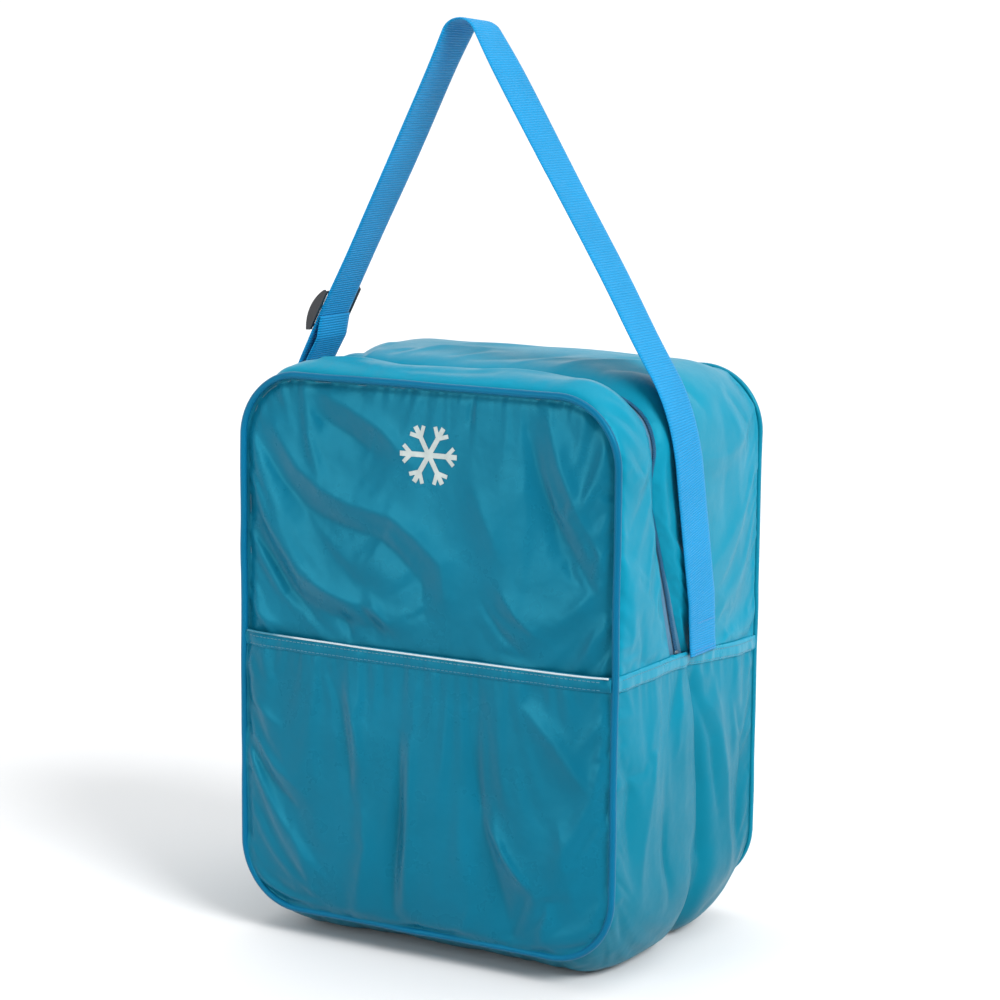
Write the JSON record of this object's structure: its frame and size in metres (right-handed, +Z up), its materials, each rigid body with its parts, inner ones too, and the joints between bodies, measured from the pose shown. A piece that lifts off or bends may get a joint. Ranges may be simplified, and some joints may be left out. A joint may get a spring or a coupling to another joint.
{
  "type": "ski boot bag",
  "caption": "Soft upright bag for ski boots with a zipped flap that folds down, a front slip pocket, piped seams and an adjustable webbing shoulder strap.",
  "frame": {"origin": "on the ground under the middle of the bag's body, on the flat of its base", "axes": "+Z up, the front panel with its pocket faces -Y, +X towards the bag's left hand side as seen from behind, which is the right as seen from the front"},
  "size_m": [0.3172, 0.2307, 0.6506],
  "materials": {
    "front_fabric": "shiny coated polyester",
    "side_fabric": "shiny coated polyester",
    "piping_fabric": "woven piping over a cord",
    "binding_tape": "woven seam tape",
    "reflective": "reflective piping",
    "zip_tape": "woven polyester tape",
    "zip_coil": "nylon coil",
    "zip_metal": "satin nickel",
    "webbing": "ribbed polypropylene webbing",
    "black_plastic": "moulded acetal",
    "print": "pale grey print"
  },
  "bodies": {
    "bag": {"lower_gusset": "side_fabric", "rear_gusset_strip": "side_fabric", "rear_panel": "side_fabric", "rear_piping": "side_fabric", "rear_seam_binding": "binding_tape", "lower_front_panel": "front_fabric", "front_piping_lower": "piping_fabric", "front_seam_binding_lower": "binding_tape", "cross_seam_band_left": "side_fabric", "cross_seam_band_right": "side_fabric", "front_pocket_panel": "front_fabric", "pocket_hem": "front_fabric", "pocket_reflective_piping": "reflective", "zip_tape_rear": "zip_tape", "zip_coil_rear": "zip_coil", "zip_end_stops": "zip_metal"},
    "flap": {"upper_front_panel": "front_fabric", "front_gusset_strip": "side_fabric", "front_piping_upper": "piping_fabric", "front_seam_binding_upper": "binding_tape", "printed_mark": "print", "zip_tape_front": "zip_tape", "zip_coil_front": "zip_coil"},
    "strap": {"strap_webbing": "webbing", "strap_return_layer": "webbing", "strap_fold": "webbing", "strap_ring": "black_plastic", "strap_ring_tab": "webbing", "strap_end_fold_left": "webbing", "strap_end_fold_right": "webbing"},
    "strap_adjuster": {"strap_adjuster": "black_plastic"},
    "zip_slider": {"zip_slider": "zip_metal"},
    "zip_pull": {"zip_pull": "zip_metal"}
  },
  "joints": [
    {"name": "flap_fold", "type": "hinge", "parent": "bag", "child": "flap", "pos_m": [0, -0.1194, 0.2212], "axis": [1, 0, 0], "range_deg": [0, 110]},
    {"name": "strap_swing", "type": "hinge", "parent": "bag", "child": "strap", "pos_m": [0, 0.018, 0.213], "axis": [1, 0, 0], "range_deg": [-105, 10]},
    {"name": "adjuster_slide", "type": "slide", "parent": "strap", "child": "strap_adjuster", "axis": [0.459, 0, 0.8884], "range_m": [0, 0.1]},
    {"name": "zip_slide", "type": "slide", "parent": "bag", "child": "zip_slider", "axis": [0, 0, 1], "range_m": [0, 0.1]},
    {"name": "pull_swing", "type": "hinge", "parent": "zip_slider", "child": "zip_pull", "pos_m": [-0.153, -0.048, 0.234], "axis": [0, 1, 0], "range_deg": [0, 180]}
  ]
}
